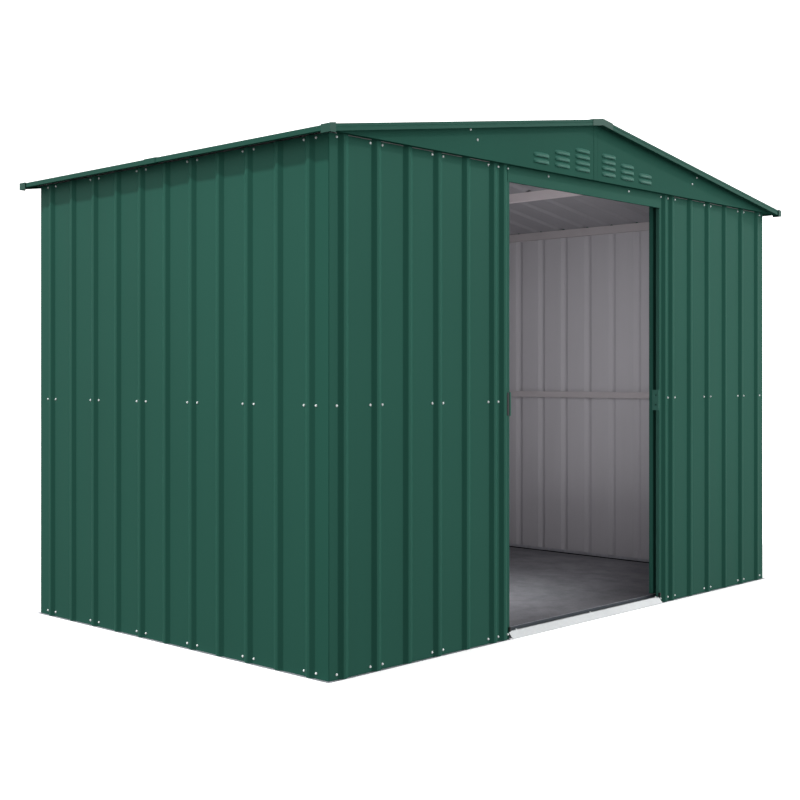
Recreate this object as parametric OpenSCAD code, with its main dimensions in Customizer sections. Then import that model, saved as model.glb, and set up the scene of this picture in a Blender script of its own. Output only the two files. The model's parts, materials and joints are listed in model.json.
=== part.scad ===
// Ribbed sheet-metal storage shed with a low gable roof and two doors that
// slide apart behind the front walls. Millimetres, +Z up. The origin is on
// the ground at the middle of the footprint; -Y is the door side.

/* [Wall sheets] */
// Spacing of the pressed ribs
rib_pitch = 164; // [150:1:180]
// How far a rib stands out of its sheet
rib_h = 10; // [6:0.5:11]
// Width of a rib where it leaves the sheet
rib_base = 50; // [40:1:54]
// Width of a rib's flat crest
rib_crest = 12; // [8:1:18]
// Sheet thickness as drawn
sheet_t = 1; // [0.6:0.1:1.2]
// Number of ribs on a side wall
side_ribs = 11; // [7:1:15]
// Number of full ribs on each front wall, beside the jamb rib
front_ribs = 6; // [4:1:8]
// Height of the side walls
side_h = 1872; // [1700:1:2000]

// Inner radius of the rolled bends of a rib
bend_r = 8; // [3:0.5:10]

/* [Doorway] */
// Clear width of the doorway
door_w = 1108; // [900:1:1109]
// Underside of the header over the doorway
header_z = 1810; // [1600:1:1820]
// Thickness of a door leaf
leaf_t = 20; // [16:0.5:21]
// Gap from the front sheet to the door leaf
leaf_gap = 31; // [29:0.5:32]
// Height of a door handle plate
handle_h = 94; // [60:1:120]
// Radius of the padlock holes
lock_r = 4; // [3:0.25:4.5]

/* [Roof] */
// Fall of the roof for each unit of width
roof_slope = 0.1515; // [0.1:0.0005:0.2]
// Height of a roof rib
roof_rib_h = 12; // [8:0.5:14]
// Verge overhang past the front and rear sheets
verge_out = 67; // [55:1:80]
// Eave overhang past the side sheets
eave_out = 58; // [50:1:80]
// Depth of the verge trims
trim_h = 25; // [24:1:32]
// Depth of the eave trims
eave_h = 18; // [16:1:24]
// How far the gables stand out past the front and rear sheets
gable_out = 31; // [26:1:36]

/* [Vents] */
// Width of a louvre
louvre_w = 104; // [60:1:110]
// Spacing of the louvre columns
louvre_dx = 144; // [130:1:150]
// Spacing of the louvre rows
louvre_dz = 26; // [24:1:28]

/* [Base] */
// Height of the base rails
rail_h = 30; // [24:1:36]
// Thickness of the floor slab
floor_t = 10; // [8:1:12]

/* [Hidden] */

green = [0.16, 0.35, 0.28];
dark = [0.07, 0.09, 0.10];
galv = [0.72, 0.73, 0.74];
inner = [0.60, 0.58, 0.58];
slab = [0.45, 0.45, 0.47];

$fn = 48;
t = sheet_t;
side_in = 93;      // corner to the first rib on a side wall
front_in = 68;     // corner to the first rib on the front
jamb_gap = 61.7;   // last full rib to the jamb rib
jamb_edge = 40.3;  // jamb rib to the doorway edge
jamb_ret = 19;     // return of the sheet into the doorway
front_len = front_in + rib_pitch*(front_ribs - 1) + jamb_gap + jamb_edge;
W = 2*front_len + door_w;
D = 2*side_in + rib_pitch*(side_ribs - 1);
hw = W/2;
hd = D/2;
front_h = side_h + 4;
base_t = 1.2;      // base rail flange
leg_t = 1.5;       // base rail upright
flange = 13;       // base rail flange past the sheets
corner_f = front_in - rib_base/2 - 3;   // corner piece, front arm
corner_s = side_in - rib_base/2 - 3;    // corner piece, side arm
corner_r = 3;
rear_n = round((W - 2*front_in)/rib_pitch);
rear_pitch = (W - 2*front_in)/rear_n;

pitch_a = atan(roof_slope);
flat0 = side_h + 8 + roof_slope*hw;      // roof flats at the ridge line
trim_t = 1.2;
verge_y = hd + verge_out;
eave_x = hw + eave_out;
roof_end = eave_x - 8;
verge_end = eave_x - 18;
over0 = flat0 + (roof_rib_h + trim_t)/cos(pitch_a);   // top of the trims at the ridge line
under0 = flat0 - t/cos(pitch_a);                       // underside of the roof sheets
gable_y = hd + gable_out;
gable_z = side_h;
gable_x = hw - 4;
ridge_e = 74;      // ridge cap, half width

lead_x = door_w/2 - 5.5;     // leading edge of an open leaf
leaf_w = door_w/2 + 18;
leaf_z0 = 40;
leaf_z1 = header_z + 26;
leaf_y = -hd + leaf_gap;     // front of a leaf
handle_z = 930;
plate_t = 2;

function rev(v) = [for (i = [len(v) - 1:-1:0]) v[i]];
// three points of a bend of radius r at the corner q between p and n
function bend(p, q, n, r) =
  let (u = (p - q)/norm(p - q), v = (n - q)/norm(n - q), a = acos(u*v)/2, d = r/tan(a),
       w = (u + v)/norm(u + v), c = q + w*r/sin(a))
  [q + u*d, c - w*r, q + v*d];
// one rib with rolled bends, centred on x
function rib(x, h, b, c) =
  let (k = [[x - b/2 - 5, 0], [x - b/2, 0], [x - c/2, h], [x + c/2, h], [x + b/2, 0], [x + b/2 + 5, 0]])
  [for (i = [1:4]) each bend(k[i - 1], k[i], k[i + 1], bend_r)];
function rib_line(u0, u1, cs, h, b, c) = concat([[u0, 0]], [for (x = cs) each rib(x, h, b, c)], [[u1, 0]]);
function under(x) = under0 - roof_slope*abs(x);
function over(x) = over0 - roof_slope*abs(x);

// a sheet with ribs at the places cs, standing up in +v
module ribbed(u0, u1, cs, h, b, c) {
  line = rib_line(u0, u1, cs, h, b, c);
  polygon(concat(line, [for (p = rev(line)) [p[0], p[1] - t]]));
}
module flip_x() { mirror([1, 0, 0]) children(); }
module flip_y() { mirror([0, 1, 0]) children(); }
// a profile in (x, z), run along y
module along_y(y0, y1) { translate([0, y1, 0]) rotate([90, 0, 0]) linear_extrude(y1 - y0) children(); }
// a profile in (y, z), run along x
module along_x(x0, x1) { translate([x0, 0, 0]) rotate([90, 0, 90]) linear_extrude(x1 - x0) children(); }
// a profile in (y, height over the roof flats), run down the right slope between two x
module down_slope(x0, x1) {
  translate([0, 0, flat0]) rotate([0, pitch_a, 0]) translate([x0/cos(pitch_a), 0, 0])
    rotate([90, 0, 90]) linear_extrude((x1 - x0)/cos(pitch_a)) children();
}

// ---- base ----
module floor_slab() { translate([-hw + 3, -hd + 3, 0]) cube([W - 6, D - 6, floor_t]); }
module rail_front_profile() {
  polygon([[-hd + t, rail_h], [-hd + t, base_t], [-hd - flange, base_t], [-hd - flange, 0],
           [-hd + t + leg_t, 0], [-hd + t + leg_t, rail_h]]);
}
module base_rail_front() {
  for (s = [0, 1]) mirror([s, 0, 0]) {
    along_x(-hw + 3, -door_w/2 - 4) rail_front_profile();
    translate([-hw - flange, -hd - flange, 0]) cube([flange + 3.5, flange + t, base_t]);
  }
}
module base_rail_rear() {
  flip_y() {
    along_x(-hw + 3, hw - 3) rail_front_profile();
    for (s = [0, 1]) mirror([s, 0, 0])
      translate([-hw - flange, -hd - flange, 0]) cube([flange + 3.5, flange + t, base_t]);
  }
}
module base_rail_left() {
  along_y(-hd + corner_r + 0.3, hd - corner_r - 0.3)
    polygon([[-hw + t, rail_h], [-hw + t, base_t], [-hw - flange, base_t], [-hw - flange, 0],
             [-hw + t + leg_t, 0], [-hw + t + leg_t, rail_h]]);
}
// bottom door track: a low channel with one running rail
module door_track_bottom() {
  c = leaf_y + leaf_t/2;
  along_x(-door_w - 60, door_w + 60)
    polygon([[c - 26, floor_t], [c - 26, 27], [c - 24.5, 27], [c - 24.5, 24], [c - 1.25, 24], [c - 1.25, 34],
             [c + 1.25, 34], [c + 1.25, 24], [c + 14.5, 24], [c + 14.5, 27], [c + 16, 27], [c + 16, floor_t],
             [c + 14.5, floor_t], [c + 14.5, 22.5], [c - 24.5, 22.5], [c - 24.5, floor_t]]);
}
// sloping strip in front of the doorway
module threshold_ramp() {
  a = -hd - 16;
  along_x(-door_w/2 + 0.4, door_w/2 - 0.4)
    polygon([[a, 0], [a, 5], [-hd + 4, 28], [-hd + 12.5, 28], [-hd + 12.5, floor_t + 0.2], [-hd + 11.3, floor_t + 0.2],
             [-hd + 11.3, 26.6], [-hd + 4.5, 26.6], [a + 1.4, 4.2], [a + 1.4, 0]]);
}

// ---- walls ----
module front_sheet() {
  cs = concat([for (k = [0:front_ribs - 1]) front_in + rib_pitch*k],
              [front_in + rib_pitch*(front_ribs - 1) + jamb_gap]);
  mirror([0, 1]) {
    ribbed(corner_f, front_len, cs, rib_h, rib_base, rib_crest);
  }
}
module front_wall_left() {
  translate([-hw, -hd, base_t]) linear_extrude(front_h - base_t) front_sheet();
  translate([-door_w/2 - t, -hd, 28.6]) cube([t, jamb_ret, header_z - 29.2]);
}
module left_wall() {
  translate([-hw, -hd, base_t]) linear_extrude(side_h - base_t) rotate(90)
    ribbed(corner_s, D - corner_s, [for (k = [0:side_ribs - 1]) side_in + rib_pitch*k], rib_h, rib_base, rib_crest);
}
module rear_wall() {
  translate([-hw, hd, base_t]) linear_extrude(front_h - base_t)
    ribbed(corner_f, W - corner_f, [for (k = [0:rear_n]) front_in + rear_pitch*k], rib_h, rib_base, rib_crest);
}
module corner_front_left() {
  r = corner_r;
  translate([-hw, -hd, base_t]) linear_extrude(side_h - base_t)
    polygon(concat([for (a = [180:15:270]) [r + r*cos(a), r + r*sin(a)]],
      [[corner_f, 0], [corner_f, t]],
      [for (a = [270:-15:180]) [r + (r - t)*cos(a), r + (r - t)*sin(a)]],
      [[t, corner_s], [0, corner_s]]));
}

// ---- rails inside ----
// flat straps behind the front walls
module mid_rail_front() {
  for (s = [0, 1]) mirror([s, 0, 0])
    translate([-hw + 4, -hd + t, 914]) cube([front_len - 12, 2, 34]);
}
module rail_c(x, s) {
  // channel open towards the wall, its web s inwards of x
  polygon([[x, 914], [x - s, 914], [x - s, 948], [x, 948], [x, 946.8], [x - s + 1.2, 946.8],
           [x - s + 1.2, 915.2], [x, 915.2]]);
}
module mid_rail_right() { along_y(-hd + 60, hd - 26) rail_c(hw - t, 20); }
module mid_rail_rear() { along_x(-hw + 4, hw - 4) rail_c(hd - t, 20); }
module eave_beam_right() {
  a = hw - t;
  b = a - 25;
  along_y(-hd + 60, hd - 26)
    polygon([[a, 1840], [b, 1840], [b, under(b)], [a, under(a)], [a, under(a) - 1.2], [b + 1.2, under(b + 1.2) - 1.2],
             [b + 1.2, 1841.2], [a, 1841.2]]);
}
// top door track: an inverted channel carried by the front sheets
module door_track_top() {
  c = leaf_y + leaf_t/2;
  z0 = leaf_z1 + 6;
  z1 = front_h;
  along_x(-hw + 28, hw - 28)
    polygon([[-hd + t, z0], [-hd + t, z1], [c + 17.2, z1], [c + 17.2, z0], [c + 16, z0], [c + 16, z1 - 1.2],
             [c - 16, z1 - 1.2], [c - 16, z0], [c - 17.2, z0], [c - 17.2, z1 - 1.2], [-hd + t + 1.2, z1 - 1.2],
             [-hd + t + 1.2, z0]]);
}
module rear_top_rail() {
  along_x(-hw + 28, hw - 28)
    polygon([[hd - t, 1840], [hd - t, front_h], [hd - t - 25, front_h], [hd - t - 25, front_h - 1.2],
             [hd - t - 1.2, front_h - 1.2], [hd - t - 1.2, 1840]]);
}
module header() {
  x = door_w/2 + 13;
  translate([-x, -hd - trim_t, header_z]) cube([2*x, trim_t, front_h - header_z]);
  translate([-door_w/2 + 1, -hd - trim_t, header_z]) cube([door_w - 2, 10, trim_t]);
}

// ---- gables ----
// right-hand front gable half: face, foot turned back to the rib crests, louvres in three columns
module gable_right(a) {
  y = -gable_y;
  difference() {
    union() {
      translate([0, y + trim_t, 0]) rotate([90, 0, 0]) linear_extrude(trim_t)
        polygon([[a, gable_z], [gable_x, gable_z], [gable_x, under(gable_x) - 0.1], [a, under(a) - 0.1]]);
      translate([a, y, gable_z]) cube([gable_x - a, gable_out - rib_h, trim_t]);
    }
    for (i = [0:2], j = [0:3 - i])
      translate([97 + louvre_dx*i - louvre_w/2 + 3, y - 1, gable_z + 28 + louvre_dz*j]) cube([louvre_w - 6, trim_t + 2, 11]);
  }
}
// left half: the mirror image, with a strip behind the joint
module gable_left(a) {
  flip_x() gable_right(a);
  translate([-a - 20, -gable_y + trim_t, gable_z + trim_t]) cube([2*a + 40, trim_t, under(a + 20) - gable_z - trim_t - 0.1]);
}

// ---- roof ----
module purlin_right() {
  a = hw/2;
  b = a + 34;
  along_y(-gable_y + 2*trim_t + 0.2, gable_y - 2*trim_t - 0.2)
    polygon([[a, 1952], [b, 1952], [b, 1953.5], [a + 1.5, 1953.5], [a + 1.5, under(a + 1.5) - 1.5], [b, under(b) - 1.5],
             [b, under(b)], [a, under(a)]]);
}
module roof_panel_right() {
  down_slope(4, roof_end)
    ribbed(-verge_y + 2.6, verge_y - 2.6, [for (k = [0:side_ribs - 1]) -hd + side_in + rib_pitch*k], roof_rib_h, rib_base, rib_crest);
}
module ridge_cap() {
  e = ridge_e;
  q = e - trim_t;
  c = trim_t/cos(pitch_a);
  along_y(-verge_y, verge_y)
    polygon([[-e, over(e) + 0.1], [-e, over(e) + 1.6 + c], [0, over(0) + 1.6 + c], [e, over(e) + 1.6 + c], [e, over(e) + 0.1],
             [q, over(q) + 0.1], [q, over(q) + 1.6], [0, over(0) + 1.6], [-q, over(q) + 1.6], [-q, over(q) + 0.1]]);
}
module eave_trim_right() {
  x = eave_x;
  zb = over(x) - eave_h;
  along_y(-verge_y, verge_y)
    polygon([[verge_end, over(verge_end)], [x, over(x)], [x, zb], [x - 16, zb], [x - 16, zb + trim_t], [x - trim_t, zb + trim_t],
             [x - trim_t, over(x - trim_t) - trim_t], [verge_end, over(verge_end) - trim_t]]);
}
module verge_front_right() {
  top = roof_rib_h + trim_t;
  down_slope(5, verge_end - 2.5)
    polygon([[-verge_y, top], [-verge_y, top - 9], [-verge_y + 1, top - 11], [-verge_y + 1, top - 13], [-verge_y, top - 15],
             [-verge_y, top - trim_h], [-verge_y + 12, top - trim_h], [-verge_y + 12, top - trim_h + trim_t],
             [-verge_y + trim_t, top - trim_h + trim_t], [-verge_y + trim_t, top - 15.3], [-verge_y + trim_t + 1, top - 13.3],
             [-verge_y + trim_t + 1, top - 10.7], [-verge_y + trim_t, top - 8.7], [-verge_y + trim_t, roof_rib_h],
             [-verge_y + 42, roof_rib_h], [-verge_y + 42, top]]);
}
// moulded caps over the four lower roof corners
module corner_cap() {
  c = 4;
  x1 = eave_x + c;
  x0 = x1 - 27;
  h = 30;
  translate([0, -verge_y, 0]) rotate([90, 0, 0]) linear_extrude(c)
    polygon([[x0, over(x1) - h + 3], [x1, over(x1) - h + 3], [x1, over(x1) + 3.4], [x0, over(x0) + 3.4]]);
  translate([eave_x, -verge_y - c, over(x1) - h + 3]) cube([c, 46, h]);
}
module roof_corner_caps() {
  for (s = [0, 1], q = [0, 1]) mirror([s, 0, 0]) mirror([0, q, 0]) corner_cap();
}
// folded tabs that close the ridge cap's two ends
module ridge_end_caps() {
  for (q = [0, 1]) mirror([0, q, 0]) translate([0, -verge_y, 0]) rotate([90, 0, 0]) linear_extrude(1.4)
    polygon([[-ridge_e, over(ridge_e) - trim_h - 0.5], [0, over(0) - trim_h - 0.5], [ridge_e, over(ridge_e) - trim_h - 0.5],
             [ridge_e, over(ridge_e) + 2.8], [0, over(0) + 2.8], [-ridge_e, over(ridge_e) + 2.8]]);
}

// ---- doors ----
// leaf drawn for the right door, open: edge channels joined by a ribbed skin
module leaf() {
  d = leaf_t;
  translate([lead_x, leaf_y, leaf_z0]) {
    linear_extrude(leaf_z1 - leaf_z0) {
      for (u = [0, leaf_w - 26]) translate([u, 0]) difference() {
        square([26, d]);
        translate([1.2, 1.2]) square([26 - 2.4, d - 2.4]);
      }
      translate([0, 5]) mirror([0, 1])
        ribbed(25.5, leaf_w - 25.5, [for (k = [-1:1]) leaf_w/2 + rib_pitch*k], 4.8, 40, rib_crest);
    }
    for (z = [0, leaf_z1 - leaf_z0 - 1.2]) translate([0, 0, z]) cube([leaf_w, d, 1.2]);
  }
}
// plate on the leading edge, reaching out to the front sheet, with two padlock holes
module handle() {
  y0 = -hd - 2;
  difference() {
    translate([lead_x - plate_t, y0, handle_z - handle_h/2]) cube([plate_t, leaf_y + 2 - y0, handle_h]);
    for (z = [908, 952]) translate([lead_x - plate_t - 1, -hd + 14, z]) rotate([0, 90, 0]) cylinder(r = lock_r, h = plate_t + 2);
  }
}

color(slab) floor_slab();  // floor
color(galv) base_rail_front();
color(galv) base_rail_rear();
color(galv) base_rail_left();
color(galv) flip_x() base_rail_left();  // base_rail_right
color(dark) door_track_bottom();
color(galv) threshold_ramp();
color(green) front_wall_left();
color(green) flip_x() front_wall_left();  // front_wall_right
color(green) left_wall();
color(green) flip_x() left_wall();  // right_wall
color(green) rear_wall();
color(green) corner_front_left();
color(green) flip_x() corner_front_left();  // corner_front_right
color(green) flip_y() corner_front_left();  // corner_rear_left
color(green) flip_x() flip_y() corner_front_left();  // corner_rear_right
color(inner) mid_rail_front();
color(inner) mid_rail_rear();
color(inner) flip_x() mid_rail_right();  // mid_rail_left
color(inner) mid_rail_right();
color(inner) flip_x() eave_beam_right();  // eave_beam_left
color(inner) eave_beam_right();
color(inner) door_track_top();
color(inner) rear_top_rail();
color(green) header();
color(green) gable_left(15);  // front_gable_left
color(green) gable_right(15);  // front_gable_right
color(green) flip_y() gable_left(15);  // rear_gable_left
color(green) flip_y() gable_right(15);  // rear_gable_right
color(inner) flip_x() purlin_right();  // purlin_left
color(inner) purlin_right();
color(green) flip_x() roof_panel_right();  // roof_panel_left
color(green) roof_panel_right();
color(green) ridge_cap();
color(green) flip_x() eave_trim_right();  // eave_trim_left
color(green) eave_trim_right();
color(green) flip_x() verge_front_right();  // verge_front_left
color(green) verge_front_right();
color(green) flip_x() flip_y() verge_front_right();  // verge_rear_left
color(green) flip_y() verge_front_right();  // verge_rear_right
color(green) roof_corner_caps();
color(green) ridge_end_caps();
color(green) flip_x() leaf();  // left_door
color(green) flip_x() handle();  // left_door_handle
color(green) leaf();  // right_door
color(green) handle();  // right_door_handle
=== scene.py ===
import json
import math
import bpy
import bmesh
from mathutils import Matrix, Vector

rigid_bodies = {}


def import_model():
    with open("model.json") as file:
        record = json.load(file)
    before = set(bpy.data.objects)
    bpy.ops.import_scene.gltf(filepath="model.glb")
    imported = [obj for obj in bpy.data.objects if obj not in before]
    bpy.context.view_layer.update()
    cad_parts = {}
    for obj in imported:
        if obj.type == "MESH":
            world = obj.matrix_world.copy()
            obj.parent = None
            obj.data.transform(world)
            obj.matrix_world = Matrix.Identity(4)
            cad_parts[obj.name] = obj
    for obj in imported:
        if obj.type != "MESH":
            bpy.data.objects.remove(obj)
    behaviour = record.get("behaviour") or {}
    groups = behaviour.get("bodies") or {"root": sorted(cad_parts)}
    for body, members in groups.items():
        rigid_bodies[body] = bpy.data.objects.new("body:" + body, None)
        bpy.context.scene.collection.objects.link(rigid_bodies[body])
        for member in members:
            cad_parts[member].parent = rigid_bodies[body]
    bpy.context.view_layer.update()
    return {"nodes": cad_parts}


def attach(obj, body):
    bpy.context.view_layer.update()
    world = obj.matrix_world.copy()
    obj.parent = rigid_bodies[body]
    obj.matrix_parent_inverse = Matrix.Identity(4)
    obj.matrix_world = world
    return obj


for o in list(bpy.data.objects):
    bpy.data.objects.remove(o, do_unlink=True)

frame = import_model()
NODE = frame["nodes"]
scene = bpy.context.scene

# ---------------------------------------------------------------- dimensions, metres
HW, HD = 1.544, 0.913
SLOPE = 0.1515
COS = 1 / math.sqrt(1 + SLOPE * SLOPE)
SIDE_H, FRONT_H = 1.872, 1.876
FLAT0 = SIDE_H + 0.008 + SLOPE * HW
OVER0 = FLAT0 + 0.0132 / COS
VERGE_Y = HD + 0.067
EAVE_X = HW + 0.058
EAVE_H = 0.018
GABLE_Y = HD + 0.031
GABLE_Z = SIDE_H
RIB = 0.164


def over(x):
    return OVER0 - SLOPE * abs(x)


def flat(x):
    return FLAT0 - SLOPE * abs(x)


# ---------------------------------------------------------------- node helpers
def new_material(name):
    m = bpy.data.materials.new(name)
    m.use_nodes = True
    t = m.node_tree
    b = next(n for n in t.nodes if n.type == "BSDF_PRINCIPLED")
    return m, t, b


def node(t, kind, **kw):
    n = t.nodes.new(kind)
    for k, v in kw.items():
        setattr(n, k, v)
    return n


def place(t, scale):
    c = node(t, "ShaderNodeTexCoord")
    m = node(t, "ShaderNodeMapping")
    m.inputs["Scale"].default_value = scale
    t.links.new(c.outputs["Object"], m.inputs["Vector"])
    return m.outputs["Vector"]


def noise(t, scale, detail=3.0, rough=0.55, stretch=(1, 1, 1)):
    n = node(t, "ShaderNodeTexNoise")
    n.inputs["Scale"].default_value = scale
    n.inputs["Detail"].default_value = detail
    n.inputs["Roughness"].default_value = rough
    t.links.new(place(t, stretch), n.inputs["Vector"])
    return n.outputs[0]


def ramp(t, fac, lo, hi, a=0.0, b=1.0):
    m = node(t, "ShaderNodeMapRange")
    m.inputs["From Min"].default_value = lo
    m.inputs["From Max"].default_value = hi
    m.inputs["To Min"].default_value = a
    m.inputs["To Max"].default_value = b
    t.links.new(fac, m.inputs["Value"])
    return m.outputs["Result"]


def math_node(t, op, a, b=None):
    m = node(t, "ShaderNodeMath", operation=op)
    for i, v in enumerate((a, b)):
        if v is None:
            continue
        if isinstance(v, (int, float)):
            m.inputs[i].default_value = v
        else:
            t.links.new(v, m.inputs[i])
    return m.outputs[0]


def mix(t, fac, a, b, blend="MIX"):
    m = node(t, "ShaderNodeMix", data_type="RGBA", blend_type=blend)
    if isinstance(fac, (int, float)):
        m.inputs[0].default_value = fac
    else:
        t.links.new(fac, m.inputs[0])
    for i, v in ((6, a), (7, b)):
        if isinstance(v, tuple):
            m.inputs[i].default_value = (*v, 1.0)
        else:
            t.links.new(v, m.inputs[i])
    return m.outputs[2]


def bump(t, height, distance, strength=1.0, chain=None):
    n = node(t, "ShaderNodeBump")
    n.inputs["Strength"].default_value = strength
    n.inputs["Distance"].default_value = distance
    t.links.new(height, n.inputs["Height"])
    if chain is not None:
        t.links.new(chain, n.inputs["Normal"])
    return n.outputs["Normal"]


def scaled(c, k):
    return tuple(min(1.0, v * k) for v in c)


# ---------------------------------------------------------------- materials
GREEN = (0.0224, 0.1005, 0.0732)
GREY = (0.455, 0.440, 0.468)


def coated(name, outside, inside=None, inward=None, rough=0.45, spec=0.06, wave=0.0009, foot_shade=0.0):
    """Stove-enamelled sheet: colour outside, a pale primer on the faces that look along inward."""
    m, t, b = new_material(name)
    big = noise(t, 0.8, 3.0, 0.5)
    streak = noise(t, 9.0, 4.0, 0.6, (1.0, 1.0, 0.10))
    fine = noise(t, 60.0, 3.0, 0.6)
    col = mix(t, ramp(t, big, 0.25, 0.75), scaled(outside, 0.94), scaled(outside, 1.07))
    col = mix(t, ramp(t, streak, 0.35, 0.75, 0.0, 0.35), col, scaled(outside, 1.12))
    geo = node(t, "ShaderNodeNewGeometry")
    xyz = node(t, "ShaderNodeSeparateXYZ")
    t.links.new(geo.outputs["Position"], xyz.inputs["Vector"])
    # painted shade: the outside colour darkens towards the foot, strongest at z = 0 and gone at 1.9 m
    if foot_shade:
        col = mix(t, ramp(t, xyz.outputs[2], 0.0, 1.9, foot_shade, 0.0), col, scaled(outside, 0.35))
    if inside is not None:
        ins = mix(t, ramp(t, big, 0.3, 0.7), scaled(inside, 0.95), scaled(inside, 1.05))
        ins = mix(t, ramp(t, streak, 0.4, 0.7, 0.0, 0.5), ins, scaled(inside, 0.90))
        d = node(t, "ShaderNodeVectorMath", operation="DOT_PRODUCT")
        d.inputs[1].default_value = inward
        t.links.new(geo.outputs["True Normal"], d.inputs[0])
        side = math_node(t, "GREATER_THAN", d.outputs["Value"], 0.3)
        if inward[2]:
            for i, reach in ((0, HW - 0.001), (1, GABLE_Y)):
                side = math_node(t, "MULTIPLY", side, math_node(t, "LESS_THAN", math_node(t, "ABSOLUTE", xyz.outputs[i]), reach))
        col = mix(t, side, col, ins)
    t.links.new(col, b.inputs["Base Color"])
    r = math_node(t, "ADD", ramp(t, fine, 0.3, 0.7, rough - 0.03, rough + 0.03), ramp(t, streak, 0.3, 0.7, -0.03, 0.03))
    t.links.new(r, b.inputs["Roughness"])
    nz = node(t, "ShaderNodeSeparateXYZ")
    t.links.new(geo.outputs["Normal"], nz.inputs["Vector"])
    t.links.new(ramp(t, nz.outputs[2], -0.7, -0.3, 0.0, spec), b.inputs["Specular IOR Level"])
    peel = noise(t, 420.0, 2.0, 0.5)
    wide = noise(t, 3.2, 2.0, 0.4, (1.0, 1.0, 0.45))
    n1 = bump(t, wide, wave, 0.6)
    n2 = bump(t, peel, 0.00006, 0.5, n1)
    t.links.new(n2, b.inputs["Normal"])
    return m


def zinc(name, colour, rough=0.38, metallic=0.7, spangle=0.10, scale=70.0):
    """Galvanised sheet with a fine crystal spangle."""
    m, t, b = new_material(name)
    v = node(t, "ShaderNodeTexVoronoi", feature="F1")
    v.inputs["Scale"].default_value = scale
    t.links.new(place(t, (1, 1, 1)), v.inputs["Vector"])
    s = node(t, "ShaderNodeSeparateColor")
    t.links.new(v.outputs["Color"], s.inputs["Color"])
    big = noise(t, 4.0, 4.0, 0.6)
    col = mix(t, s.outputs[0], scaled(colour, 1 - spangle), scaled(colour, 1 + spangle))
    col = mix(t, ramp(t, big, 0.35, 0.75, 0.0, 0.5), col, scaled(colour, 0.82))
    t.links.new(col, b.inputs["Base Color"])
    t.links.new(ramp(t, s.outputs[1], 0.0, 1.0, rough - 0.07, rough + 0.07), b.inputs["Roughness"])
    b.inputs["Metallic"].default_value = metallic
    scratch = noise(t, 120.0, 2.0, 0.5, (0.08, 1.0, 1.0))
    t.links.new(bump(t, scratch, 0.00008, 0.5), b.inputs["Normal"])
    return m


def moulded(name, colour, rough=0.45):
    """Moulded plastic with a fine leather grain."""
    m, t, b = new_material(name)
    big = noise(t, 12.0, 3.0, 0.5)
    t.links.new(mix(t, ramp(t, big, 0.3, 0.7), scaled(colour, 0.9), scaled(colour, 1.12)), b.inputs["Base Color"])
    fine = noise(t, 500.0, 3.0, 0.6)
    t.links.new(ramp(t, fine, 0.3, 0.7, rough - 0.05, rough + 0.06), b.inputs["Roughness"])
    b.inputs["Specular IOR Level"].default_value = 0.15
    t.links.new(bump(t, fine, 0.00015, 0.5), b.inputs["Normal"])
    return m


def concrete(name):
    m, t, b = new_material(name)
    big = noise(t, 1.3, 6.0, 0.62)
    mid = noise(t, 5.5, 6.0, 0.65)
    fine = noise(t, 140.0, 4.0, 0.7)
    col = mix(t, ramp(t, big, 0.36, 0.66), (0.130, 0.129, 0.146), (0.262, 0.260, 0.284))
    col = mix(t, ramp(t, mid, 0.42, 0.62, 0.0, 0.55), col, (0.125, 0.125, 0.138))
    col = mix(t, ramp(t, fine, 0.40, 0.75, 0.0, 0.35), col, (0.31, 0.31, 0.325))
    t.links.new(col, b.inputs["Base Color"])
    t.links.new(ramp(t, mid, 0.3, 0.7, 0.62, 0.86), b.inputs["Roughness"])
    h = math_node(t, "ADD", math_node(t, "MULTIPLY", mid, 0.6), math_node(t, "MULTIPLY", fine, 0.4))
    t.links.new(bump(t, h, 0.0012, 0.6), b.inputs["Normal"])
    return m


IN = {
    "front": (0, 1, 0), "rear": (0, -1, 0), "left": (1, 0, 0), "right": (-1, 0, 0), "roof": (0, 0, -1),
    "fl": (0.7071, 0.7071, 0), "fr": (-0.7071, 0.7071, 0), "rl": (0.7071, -0.7071, 0), "rr": (-0.7071, -0.7071, 0),
}
# painted shade on every wall paint but the roof: the green darkens towards the foot
PAINT = {k: coated("coated_sheet_" + k, GREEN, GREY if k != "roof" else (0.300, 0.292, 0.312), v,
                   spec={"front": 0.020, "fl": 0.020, "fr": 0.020, "roof": 0.06}.get(k, 0.030), foot_shade=0.0 if k == "roof" else 0.36) for k, v in IN.items()}
GABLE = {k: coated("coated_gable_" + k, scaled(GREEN, 0.875), GREY, IN[k], spec=0.010) for k in ("front", "rear")}
# painted light: the louvre hoods get a lighter green than the gable, standing in for the light their faces catch from
# above
LOUVRE_LIT_GREEN = coated("louvre_lit_green", (0.028, 0.130, 0.096), spec=0.06)
JAMB_LIT_GREEN = coated("jamb_lit_green", (0.060, 0.190, 0.148), spec=0.06)
LEAF_EDGE_LIT_GREEN = coated("leaf_edge_lit_green", (0.042, 0.170, 0.128), spec=0.06)
TRIM = coated("coated_trim", scaled(GREEN, 0.88), rough=0.40, spec=0.03)
CAP = moulded("cap_plastic_green", scaled(GREEN, 0.80), 0.55)
LINER = coated("primed_steel", (0.420, 0.390, 0.405), rough=0.46)
PURLIN = coated("primed_purlin", (0.640, 0.580, 0.600), rough=0.46)
GALV = zinc("galvanised_rail", (0.400, 0.400, 0.440), 0.45, 0.25)
SILL = zinc("bright_sill", (0.560, 0.580, 0.590), 0.45, 0.15, 0.03, 90.0)
SLATE = coated("track_slate", (0.070, 0.080, 0.092), rough=0.5)
SLAB = concrete("floor_concrete")
BRIGHT = zinc("screw_zinc", (0.96, 1.0, 0.99), 0.40, 0.0, 0.02, 400.0)
BLACK = moulded("black_nylon", (0.010, 0.011, 0.011), 0.42)
SEAL = coated("primed_lip", (0.250, 0.240, 0.242), rough=0.55)
# painted light: the handle plates get a lighter green than the walls, standing in for the light they catch
HANDLE_LIT_GREEN = coated("handle_lit_green", (0.088, 0.265, 0.208), rough=0.36)

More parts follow.
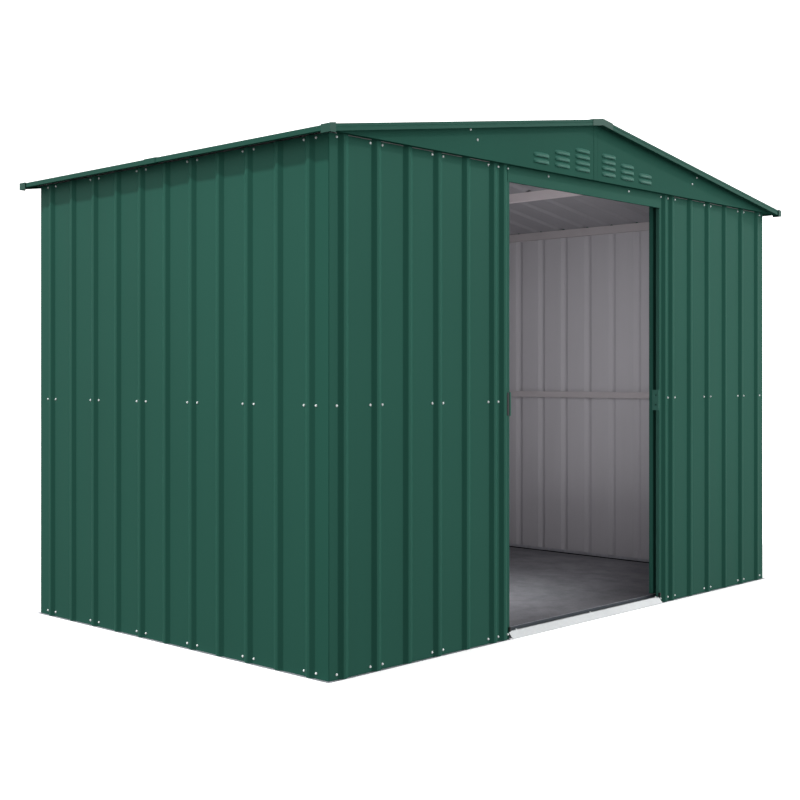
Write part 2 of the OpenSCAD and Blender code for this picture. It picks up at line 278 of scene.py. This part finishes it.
LOOK = {
    "floor": SLAB, "door_track_bottom": SLATE, "threshold_ramp": SILL, "header": PAINT["front"],
    "front_wall_left": PAINT["front"], "front_wall_right": PAINT["front"], "left_wall": PAINT["left"],
    "right_wall": PAINT["right"], "rear_wall": PAINT["rear"],
    "corner_front_left": PAINT["fl"], "corner_front_right": PAINT["fr"],
    "corner_rear_left": PAINT["rl"], "corner_rear_right": PAINT["rr"],
    "front_gable_left": GABLE["front"], "front_gable_right": GABLE["front"],
    "rear_gable_left": GABLE["rear"], "rear_gable_right": GABLE["rear"],
    "purlin_left": PURLIN, "purlin_right": PURLIN,
    "roof_panel_left": PAINT["roof"], "roof_panel_right": PAINT["roof"], "ridge_cap": PAINT["roof"],
    "roof_corner_caps": CAP, "ridge_end_caps": CAP,
    "left_door": PAINT["front"], "right_door": PAINT["front"],
    "left_door_handle": HANDLE_LIT_GREEN, "right_door_handle": HANDLE_LIT_GREEN,
}
for name, o in NODE.items():
    if name in LOOK:
        m = LOOK[name]
    elif name.startswith("base_rail"):
        m = GALV
    elif name.startswith(("mid_rail", "eave_beam", "purlin")) or name in ("door_track_top", "rear_top_rail"):
        m = LINER
    else:
        m = TRIM
    for s in o.material_slots:
        s.material = m
    if not o.material_slots:
        o.data.materials.append(m)

# rolled bends shade smoothly, true folds and sheet edges stay crisp
g = bpy.data.node_groups.new("rolled_bends", "GeometryNodeTree")
g.interface.new_socket("Geometry", in_out="INPUT", socket_type="NodeSocketGeometry")
g.interface.new_socket("Geometry", in_out="OUTPUT", socket_type="NodeSocketGeometry")
gi, go = g.nodes.new("NodeGroupInput"), g.nodes.new("NodeGroupOutput")
weld = g.nodes.new("GeometryNodeMergeByDistance")
weld.inputs["Distance"].default_value = 0.00001
angle = g.nodes.new("GeometryNodeInputMeshEdgeAngle")
small = g.nodes.new("FunctionNodeCompare")
small.operation = "GREATER_THAN"
small.inputs[1].default_value = math.radians(24)
setn = g.nodes.new("GeometryNodeSetMeshNormal")
setn.mode = "SHARPNESS"
g.links.new(gi.outputs[0], weld.inputs["Geometry"])
g.links.new(weld.outputs["Geometry"], setn.inputs["Mesh"])
g.links.new(angle.outputs["Unsigned Angle"], small.inputs[0])
setn.inputs["Remove Custom"].default_value = True
g.links.new(small.outputs[0], setn.inputs["Edge Sharpness"])
g.links.new(setn.outputs[0], go.inputs[0])
for name, o in NODE.items():
    md = o.modifiers.new("rolled_bends", "NODES")
    md.node_group = g
    if name == "roof_corner_caps":
        bv = o.modifiers.new("soft_edges", "BEVEL")
        bv.width, bv.segments, bv.limit_method, bv.angle_limit = 0.0012, 2, "ANGLE", math.radians(40)
    wn = o.modifiers.new("flat_faces", "WEIGHTED_NORMAL")
    wn.keep_sharp = True


# ---------------------------------------------------------------- mesh helpers
def add_piece(name, verts, faces, mat, body, smooth=True, sharp=35):
    me = bpy.data.meshes.new(name)
    me.from_pydata([tuple(v) for v in verts], [], faces)
    me.validate()
    bm = bmesh.new()
    bm.from_mesh(me)
    bmesh.ops.recalc_face_normals(bm, faces=bm.faces)
    bm.to_mesh(me)
    bm.free()
    if smooth:
        me.polygons.foreach_set("use_smooth", [True] * len(me.polygons))
        me.set_sharp_from_angle(angle=math.radians(sharp))
    me.materials.append(mat)
    o = bpy.data.objects.new(name, me)
    scene.collection.objects.link(o)
    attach(o, body)
    return o


class Heap:
    """Many like things gathered into one mesh."""

    def __init__(self):
        self.v, self.f = [], []

    def add(self, verts, faces):
        n = len(self.v)
        self.v += [Vector(p) for p in verts]
        self.f += [tuple(i + n for i in q) for q in faces]

    def rings(self, rings, cap0=True, cap1=True):
        """Closed rings of equal length, skinned in order."""
        k = len(rings[0])
        verts = [p for r in rings for p in r]
        faces = []
        for a in range(len(rings) - 1):
            for i in range(k):
                j = (i + 1) % k
                faces.append((a * k + i, a * k + j, (a + 1) * k + j, (a + 1) * k + i))
        if cap0:
            faces.append(tuple(range(k - 1, -1, -1)))
        if cap1:
            faces.append(tuple(range((len(rings) - 1) * k, len(rings) * k)))
        self.add(verts, faces)

    def make(self, name, mat, body="shed", sharp=35):
        return add_piece(name, self.v, self.f, mat, body, True, sharp)


def round_box(heap, lo, hi, r):
    """Box with rounded upright edges and chamfered ends."""
    (x0, y0, z0), (x1, y1, z1) = lo, hi
    r = min(r, (x1 - x0) / 2.01, (y1 - y0) / 2.01)
    loop = []
    for cx, cy, a0 in ((x1 - r, y1 - r, 0), (x0 + r, y1 - r, 90), (x0 + r, y0 + r, 180), (x1 - r, y0 + r, 270)):
        for k in range(4):
            a = math.radians(a0 + 30 * k)
            loop.append((cx, cy, math.cos(a), math.sin(a)))
    c = min(r * 0.6, (z1 - z0) / 4)
    rings = []
    for z, q in ((z0, r - c), (z0 + c, r), (z1 - c, r), (z1, r - c)):
        rings.append([(x + q * u, y + q * v, z) for x, y, u, v in loop])
    heap.rings(rings)


def sweep(heap, profile, path):
    """Closed 2-D profile placed by a list of functions point(u, v)."""
    heap.rings([[f(u, v) for u, v in profile] for f in path])


# pan-head screw on a washer, with a cross recess
HEAD = [(4.7, 0.0), (4.7, 0.8), (4.4, 1.2), (4.0, 1.2), (3.95, 2.1), (3.4, 3.0), (2.5, 3.5)]
SCREW_R = []
for r_, z_ in HEAD:
    SCREW_R.append([(r_ * math.cos(math.radians(-15 + 30 * i)), r_ * math.sin(math.radians(-15 + 30 * i)), z_) for i in range(12)])
w_, l_ = 0.5, 1.8
plus = [(l_, -w_), (l_, w_), (w_, w_), (w_, l_), (-w_, l_), (-w_, w_), (-l_, w_), (-l_, -w_), (-w_, -w_), (-w_, -l_), (w_, -l_), (w_, -w_)]
SCREW_R.append([(x_, y_, 3.62) for x_, y_ in plus])
SCREW_R.append([(x_ * 0.8, y_ * 0.8, 3.2) for x_, y_ in plus])


def screws(name, places, body="shed"):
    """places: (point, outward direction), metres."""
    h = Heap()
    for k, (p, d) in enumerate(places):
        d = Vector(d).normalized()
        up = Vector((0, 0, 1)) if abs(d.z) < 0.9 else Vector((0, 1, 0))
        a = up.cross(d).normalized()
        b = d.cross(a)
        spin = math.radians((k * 47) % 90)
        ca, sa = math.cos(spin), math.sin(spin)
        p = Vector(p)
        h.rings([[p + (a * (x * ca - y * sa) + b * (x * sa + y * ca) + d * z) * 0.001 for x, y, z in r] for r in SCREW_R])
    return h.make(name, BRIGHT, body, 50)


ROWS = (0.0197, 0.940, 1.861)
side_y = [-HD + 0.0932 + 0.328 * k + s * 0.0308 for k in range(6) for s in (-1, 1)]
front_x = [-HW + v for v in (0.0364, 0.2013, 0.2627, 0.5293, 0.5907, 0.8573, 0.919, 0.9804)]
rear_x = [-HW + 0.068 + 0.328 * k + s * 0.0308 for k in range(10) for s in (-1, 1)]
screws("screws_left_wall", [((-HW, y, z), (-1, 0, 0)) for y in side_y for z in ROWS])
screws("screws_right_wall", [((HW, y, z), (1, 0, 0)) for y in side_y for z in ROWS])
front_pts = [(x, z) for x in front_x for z in ROWS if not (x > -0.57 and z == ROWS[1])]
screws("screws_front_left", [((x, -HD, z), (0, -1, 0)) for x, z in front_pts])
screws("screws_front_right", [((-x, -HD, z), (0, -1, 0)) for x, z in front_pts])
screws("screws_rear_wall", [((x, HD, z), (0, 1, 0)) for x in rear_x for z in ROWS])
gable_pts = [(s * x, z) for s in (-1, 1) for x, z in ((0.832, 1.975), (0.790, 1.941))]
screws("screws_front_gable", [((x, -GABLE_Y, z), (0, -1, 0)) for x, z in gable_pts]
       + [((s * 0.298, -HD - 0.0012, 1.860), (0, -1, 0)) for s in (-1, 1)])
screws("screws_rear_gable", [((x, GABLE_Y, z), (0, 1, 0)) for x, z in gable_pts])
screws("screws_threshold", [((x, -HD + 0.0085, 0.028), (0, 0, 1)) for x in (-0.500, 0.014, 0.535)])
roof = []
for s in (-1, 1):
    d = (s * SLOPE, 0, 1)
    for y in side_y:
        for x in (0.789, 1.530):
            roof.append(((s * x, y, flat(x)), d))
    for k in range(11):
        roof.append(((s * 0.056, -HD + 0.093 + RIB * k, over(0.056) + 0.0028), d))
    for e in (-1, 1):
        for x in (0.22, 0.55, 0.88, 1.21, 1.52):
            roof.append(((s * x, e * (VERGE_Y - 0.028), over(x)), d))
screws("screws_roof", roof)


# ---------------------------------------------------------------- pressed louvre hoods
def hood(heap, cx, z0, face, out):
    """One pressed louvre: a blister that opens downwards. face is the sheet plane, out its outward sign."""
    w, h, deep = 0.104, 0.0185, 0.0068
    nu, nv = 22, 8
    outer, inner = [], []
    for j in range(nv + 1):
        v = j / nv
        for i in range(nu + 1):
            u = 2 * i / nu - 1
            end = 1 - abs(u) ** 5
            top = h * (1 - 0.30 * abs(u) ** 4)
            rise = min(1.0, v / 0.80)
            swell = deep * max(0.0, end) ** 0.75 * (0.45 * math.sin(rise * math.pi / 2) + 0.55 * rise) * (1 - 0.20 * (max(0.0, v - 0.80) / 0.20) ** 1.5)
            x = cx + u * w / 2
            z = z0 + top * (1 - v)
            outer.append((x, face + out * (swell + 0.0004), z))
            inner.append((x, face + out * max(0.0, swell - 0.0008), z + 0.0003))
    n = len(outer)
    k = nu + 1
    faces = []
    for j in range(nv):
        for i in range(nu):
            a, b, c, d = j * k + i, j * k + i + 1, (j + 1) * k + i + 1, (j + 1) * k + i
            faces.append((a, b, c, d))
            faces.append((n + d, n + c, n + b, n + a))
    for i in range(nu):
        a, b = nv * k + i, nv * k + i + 1
        faces.append((a, b, n + b, n + a))
        faces.append((i + 1, i, n + i, n + i + 1))
    for j in range(nv):
        for i in (0, nu):
            a, b = j * k + i, (j + 1) * k + i
            faces.append((a, b, n + b, n + a) if i else (b, a, n + a, n + b))
    heap.add(outer + inner, faces)


for name, face, out in (("front", -GABLE_Y, -1), ("rear", GABLE_Y, 1)):
    for s, half in ((-1, "left"), (1, "right")):
        hp = Heap()
        for i in range(3):
            for j in range(4 - i):
                hood(hp, s * (0.097 + 0.144 * i), GABLE_Z + 0.0270 + 0.026 * j, face, out)
        hp.make("louvres_" + name + "_" + half, LOUVRE_LIT_GREEN, "shed", 60)

# ---------------------------------------------------------------- eave splices, strips under the gables
for s, half in ((-1, "left"), (1, "right")):
    hp = Heap()
    zb = over(EAVE_X) - EAVE_H
    x1 = EAVE_X - 0.026
    prof = [(x1, over(x1) + 0.0016), (EAVE_X + 0.0012, over(EAVE_X) + 0.0016), (EAVE_X + 0.0016, over(EAVE_X) + 0.0010),
            (EAVE_X + 0.0016, zb - 0.0010), (EAVE_X + 0.0010, zb - 0.0015), (EAVE_X - 0.016, zb - 0.0015), (EAVE_X - 0.016, zb),
            (EAVE_X, zb), (EAVE_X, over(EAVE_X)), (x1, over(x1))]
    hp.rings([[(s * u, y, v) for u, v in prof] for y in (-0.006, 0.066)])
    hp.make("eave_splice_" + half, TRIM, "shed", 30)

front_ribs = [0.068 + RIB * k for k in range(6)] + [0.068 + RIB * 5 + 0.0617]
for e, side in ((-1, "front"), (1, "rear")):
    hp = Heap()
    if e < 0:
        ribs = [-HW + v for v in front_ribs]
        spans = [(a + 0.024, b - 0.024) for a, b in zip(ribs, ribs[1:])]
        spans = spans + [(-b, -a) for a, b in spans]
    else:
        ribs = [-HW + 0.068 + RIB * k for k in range(19)]
        spans = [(a + 0.024, b - 0.024) for a, b in zip(ribs, ribs[1:])]
    for a, b in spans:
        if b - a < 0.02:
            continue
        loop = [(0.0, 1.8716), (0.0007, 1.8716), (0.0011, 1.8719), (0.0011, 1.8752), (0.0007, 1.8756), (0.0, 1.8756)]
        hp.rings([[(x, e * (HD + u), z) for u, z in loop] for x in (a, b)])
    hp.make("gable_lip_" + side, SEAL, "shed", 30)

# folded cover strips over the joint of the gable halves
for e, side in ((-1, "front"), (1, "rear")):
    hp = Heap()
    z1 = FLAT0 - 0.0035 - SLOPE * 0.017
    sec = [(-0.0168, 0.0), (-0.0164, 0.0007), (-0.0140, 0.0011), (-0.0132, 0.0006), (0.0132, 0.0006), (0.0140, 0.0011), (0.0164, 0.0007), (0.0168, 0.0)]
    hp.rings([[(x, e * (GABLE_Y + u), z) for x, u in sec] for z in (GABLE_Z + 0.0004, z1)])
    foot = [(-0.0001, 0.0001), (-0.0001, 0.0010), (-0.0200, 0.0010), (-0.0200, 0.0001)]
    hp.rings([[(x, e * (GABLE_Y + u), GABLE_Z + z) for u, z in foot] for x in (-0.0146, 0.0146)])
    hp.make("gable_joint_" + side, GABLE[side], "shed", 30)

# ---------------------------------------------------------------- door runners
for s, body in ((-1, "left_door"), (1, "right_door")):
    hp = Heap()
    c = -0.872
    for u in (0.075, 0.497):
        x = s * (0.5485 + u)
        round_box(hp, (x - 0.028, c - 0.0022, 1.8355), (x + 0.028, c + 0.0022, 1.8630), 0.0018)
        for q in (-1, 1):
            cx = x + q * 0.017
            prof = [(3.0, -5.5), (8.0, -5.5), (9.0, -4.6), (8.2, 0.0), (9.0, 4.6), (8.0, 5.5), (3.0, 5.5)]
            hp.rings([[(cx + r * 0.001 * math.cos(math.radians(22.5 * i)), c + w * 0.001, 1.8560 + r * 0.001 * math.sin(math.radians(22.5 * i)))
                       for i in range(16)] for r, w in prof])
        for q in (-1, 1):
            lo, hi = sorted((c + q * 0.0066, c + q * 0.0076 + q * 0.0024))
            round_box(hp, (x - 0.022, lo, 0.0295), (x + 0.022, hi, 0.0405), 0.0014)
    hp.make(body + "_runners", BLACK, body, 40)

# black block on the left jamb, level with the handles: painted shade, a black piece set where the back of the left
# handle lies in shade
hp = Heap()
round_box(hp, (-0.5705, -0.9152, 0.8850), (-0.5570, -0.9131, 0.9755), 0.0010)
hp.make("left_jamb_shade_block", BLACK, "shed", 40)

# turned edge of the jambs, painted light: a lighter green than the walls stands in for the light and highlight on the
# jamb returns
for s, half in ((-1, "left"), (1, "right")):
    hp = Heap()
    lo, hi = sorted((s * 0.5540, s * 0.5534))
    round_box(hp, (lo, -0.9128, 0.0300), (hi, -0.8945, 1.8085), 0.0002)
    hp.make("jamb_edge_" + half, JAMB_LIT_GREEN, "shed", 40)

# leading edges of the leaves, painted light: a lighter green than the door paint stands in for light on these shaded
# edges
for s, body in ((-1, "left_door"), (1, "right_door")):
    hp = Heap()
    lo, hi = sorted((s * 0.5486, s * 0.5479))
    round_box(hp, (lo, -0.8818, 0.0415), (hi, -0.8624, 1.8345), 0.0002)
    hp.make(body + "_edge", LEAF_EDGE_LIT_GREEN, body, 40)

# worn top of the running rail
hp = Heap()
round_box(hp, (-1.160, -0.8732, 0.0336), (1.160, -0.8708, 0.0346), 0.0004)
hp.make("track_rail_top", GALV, "shed", 40)

# dark mastic joint between the floor and the base rails
hp = Heap()
for lo, hi in (((-1.5395, -0.850, 0.0098), (-1.5330, 0.9085, 0.0150)), ((1.5330, -0.850, 0.0098), (1.5395, 0.9085, 0.0150)),
               ((-1.5328, 0.9020, 0.0098), (1.5328, 0.9085, 0.0150))):
    round_box(hp, lo, hi, 0.0005)
hp.make("floor_joint", BLACK, "shed", 40)

# nylon stop blocks at the foot of the jambs
hp = Heap()
for s in (-1, 1):
    round_box(hp, (s * 0.5545 - 0.006, -0.9185, 0.0285), (s * 0.5545 + 0.006, -0.9085, 0.0480), 0.003)
hp.make("jamb_stops", BLACK, "shed", 40)

# ---------------------------------------------------------------- stage, light, camera
fl = bpy.data.meshes.new("ground")
fl.from_pydata([(-30, -30, 0), (30, -30, 0), (30, 30, 0), (-30, 30, 0)], [], [(0, 1, 2, 3)])
ground = bpy.data.objects.new("ground", fl)
scene.collection.objects.link(ground)
gm, gt, gb = new_material("pale_ground")
gn = noise(gt, 0.6, 3.0, 0.5)
gt.links.new(mix(gt, gn, (0.90, 0.90, 0.90), (0.93, 0.93, 0.93)), gb.inputs["Base Color"])
gb.inputs["Roughness"].default_value = 0.9
gb.inputs["Specular IOR Level"].default_value = 0.1
fl.materials.append(gm)

ground.visible_diffuse = False
ground.visible_glossy = False
gb.inputs["Emission Color"].default_value = (1.0, 1.0, 1.0, 1.0)
gb.inputs["Emission Strength"].default_value = 0.55

# soft boxes all round, as a sum of broad lobes: direction, sharpness, strength
BOXES = [
    ((-0.7071, 0.7071, 0.25), 6, 2.00), ((-1, 0, 0.25), 6, 0.28), ((-0.7071, -0.7071, 0.25), 6, 0.46), ((0.7071, -0.7071, 0.10), 6, 2.00),
    ((0.55, -0.83, 0.20), 8, 1.62), ((1, 0, 0.25), 6, 0.50), ((0.7071, 0.7071, 0.05), 3, 1.8), ((-0.7071, 0.7071, 1.0), 6, 0.88),
    ((-0.7071, -0.7071, 1.0), 6, 0.45), ((0, 0, -1), 2, 0.28),
]
world = bpy.data.worlds.new("studio")
scene.world = world
world.use_nodes = True
wt = world.node_tree
bg = next(n for n in wt.nodes if n.type == "BACKGROUND")
bg.inputs["Color"].default_value = (1.0, 1.0, 1.0, 1.0)
wc = node(wt, "ShaderNodeTexCoord")
total = None
for d, k, w in BOXES:
    dp = node(wt, "ShaderNodeVectorMath", operation="DOT_PRODUCT")
    dp.inputs[1].default_value = Vector(d).normalized()
    wt.links.new(wc.outputs["Generated"], dp.inputs[0])
    part = math_node(wt, "MULTIPLY", math_node(wt, "POWER", math_node(wt, "MAXIMUM", dp.outputs["Value"], 0.0), float(k)), w)
    total = part if total is None else math_node(wt, "ADD", total, part)
wt.links.new(total, bg.inputs["Strength"])


def sun(name, toward, strength, spread, colour=(1, 1, 1)):
    """toward: direction from the object to the light."""
    d = bpy.data.lights.new(name, "SUN")
    d.energy = strength
    d.angle = math.radians(spread)
    d.color = colour
    o = bpy.data.objects.new(name, d)
    o.rotation_euler = Vector(toward).to_track_quat("Z", "Y").to_euler()
    scene.collection.objects.link(o)
    return o


sun("left_high", (-1.0, 0.70, 1.547), 2.2, 4)
sun("right_front", (2.2, -1.0, 0.975), 0.9, 4)

# soft light for the room: daylight through the doorway, and a lift from the floor
def panel(name, size, at, turn, watts, spread=180):
    d = bpy.data.lights.new(name, "AREA")
    d.shape = "RECTANGLE"
    d.size, d.size_y = size
    d.energy = watts
    d.spread = math.radians(spread)
    o = bpy.data.objects.new(name, d)
    o.location = at
    o.rotation_euler = [math.radians(v) for v in turn]
    o.visible_camera = False
    o.visible_glossy = False
    scene.collection.objects.link(o)
    return o


panel("door_light_right", (0.25, 0.80), (0.16, -0.74, 1.24), (90, 0, -42), 4.5, 115)
panel("door_light_left", (0.25, 0.80), (-0.16, -0.74, 1.24), (90, 0, 42), 3.4, 115)
panel("door_floor", (1.00, 0.12), (0.02, -0.77, 1.70), (22, 0, 0), 3.2, 50)
panel("room_fill", (2.2, 1.0), (0.1, 0.05, 0.30), (180, 0, 0), 2.4)
panel("right_front_box", (1.0, 1.6), (1.9, -2.7, 1.3), (90, 0, 25), 8)

cam_d = bpy.data.cameras.new("camera")
cam = bpy.data.objects.new("camera", cam_d)
cam.location = (-4.5643, -4.0578, 1.04735)
cam.rotation_euler = (math.radians(90), 0, math.radians(-46.0207))
cam_d.lens = 57.634
cam_d.sensor_width = 36
cam_d.shift_x, cam_d.shift_y = 0.0281, -0.0320
cam_d.clip_end = 200
scene.collection.objects.link(cam)
scene.camera = cam
scene.view_settings.view_transform = "Standard"
scene.view_settings.look = "None"
